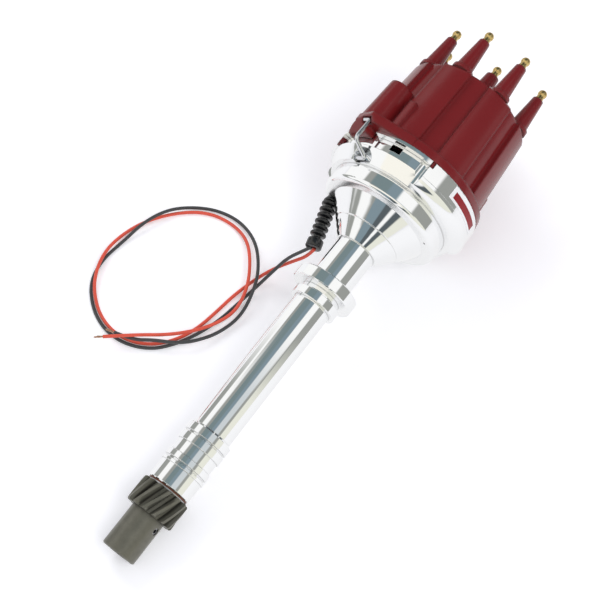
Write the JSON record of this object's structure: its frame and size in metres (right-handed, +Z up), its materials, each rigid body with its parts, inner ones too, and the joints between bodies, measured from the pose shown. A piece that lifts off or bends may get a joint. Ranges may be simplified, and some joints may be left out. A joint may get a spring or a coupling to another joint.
{
  "type": "ignition distributor",
  "caption": "Engine ignition distributor lying on its side: helical drive gear, turned alloy stem and cup, clipped cap with ball terminals, and a pair of loose leads.",
  "frame": {"origin": "on the table, under the middle of the distributor as it lies on its gear and cup; the loose leads are left out of the middle", "axes": "+X along the table from the gear to the cap, +Y towards the loose leads, +Z up; the shaft rises towards the cap at 8.45 degrees"},
  "size_m": [0.4129, 0.2115, 0.1126],
  "materials": {
    "polished_aluminium": "polished",
    "red_cap": "gloss",
    "terminal_brass": "polished",
    "gear_steel": "phosphated",
    "ground_steel": "ground",
    "clip_chrome": "plated",
    "bearing_bronze": "sintered",
    "black_rubber": "semi-gloss",
    "red_insulation": "satin",
    "black_insulation": "satin",
    "copper_strand": "bare",
    "black_plastic": "matte",
    "carbon": "matte",
    "magnet": "matte",
    "zinc_steel": "zinc plated"
  },
  "bodies": {
    "housing": {"housing": "polished_aluminium", "distributor_cap": "red_cap", "spark_terminals": "terminal_brass", "coil_terminal": "terminal_brass", "carbon_brush": "carbon", "brush_spring": "ground_steel", "lower_bushing": "bearing_bronze", "upper_bearing_outer": "ground_steel", "bearing_circlip": "ground_steel", "module_plate": "zinc_steel", "plate_screws": "zinc_steel", "ignition_module": "black_plastic", "module_screws": "zinc_steel", "strain_relief": "black_rubber", "red_lead": "red_insulation", "black_lead": "black_insulation", "red_lead_tip": "copper_strand", "black_lead_tip": "copper_strand"},
    "shaft": {"main_shaft": "ground_steel", "drive_gear": "gear_steel", "gear_roll_pin": "ground_steel", "shim_washer": "ground_steel", "thrust_washer": "bearing_bronze", "upper_bearing_inner": "ground_steel", "upper_bearing_balls": "ground_steel"},
    "advance": {"advance_cam": "ground_steel", "trigger_magnet": "magnet", "rotor": "black_plastic", "rotor_blade": "terminal_brass", "rotor_screws": "zinc_steel", "advance_spring_a": "ground_steel", "advance_spring_b": "ground_steel"},
    "weight_a": {"advance_weight_a": "zinc_steel"},
    "weight_b": {"advance_weight_b": "zinc_steel"},
    "clip_left": {"bail_clip_left": "clip_chrome"},
    "clip_right": {"bail_clip_right": "clip_chrome"}
  },
  "joints": [
    {"name": "shaft_spin", "type": "hinge", "parent": "housing", "child": "shaft", "pos_m": [-0.20397, 0, 0.01187], "axis": [0.9891, 0, 0.147], "continuous": true},
    {"name": "advance_turn", "type": "hinge", "parent": "shaft", "child": "advance", "pos_m": [0.08288, 0, 0.0545], "axis": [0.9891, 0, 0.147], "range_deg": [0, 12], "deforming": ["advance_spring_a", "advance_spring_b"]},
    {"name": "weight_a_swing", "type": "hinge", "parent": "advance", "child": "weight_a", "pos_m": [0.0836, 0, 0.07684], "axis": [0.9891, 0, 0.147], "range_deg": [-12, 0]},
    {"name": "weight_b_swing", "type": "hinge", "parent": "advance", "child": "weight_b", "pos_m": [0.09007, 0, 0.03332], "axis": [0.9891, 0, 0.147], "range_deg": [-12, 0]},
    {"name": "clip_right_hinge", "type": "hinge", "parent": "housing", "child": "clip_right", "pos_m": [0.07034, 0.02925, 0.08787], "axis": [-0.0945, -0.766, 0.6358], "range_deg": [0, 100]},
    {"name": "clip_left_hinge", "type": "hinge", "parent": "housing", "child": "clip_left", "pos_m": [0.08058, -0.02925, 0.01892], "axis": [0.0945, 0.766, -0.6358], "range_deg": [0, 100]}
  ],
  "couplings": [
    {"joint": "weight_a_swing", "follows": "advance_turn", "ratio": -1},
    {"joint": "weight_b_swing", "follows": "advance_turn", "ratio": -1}
  ]
}
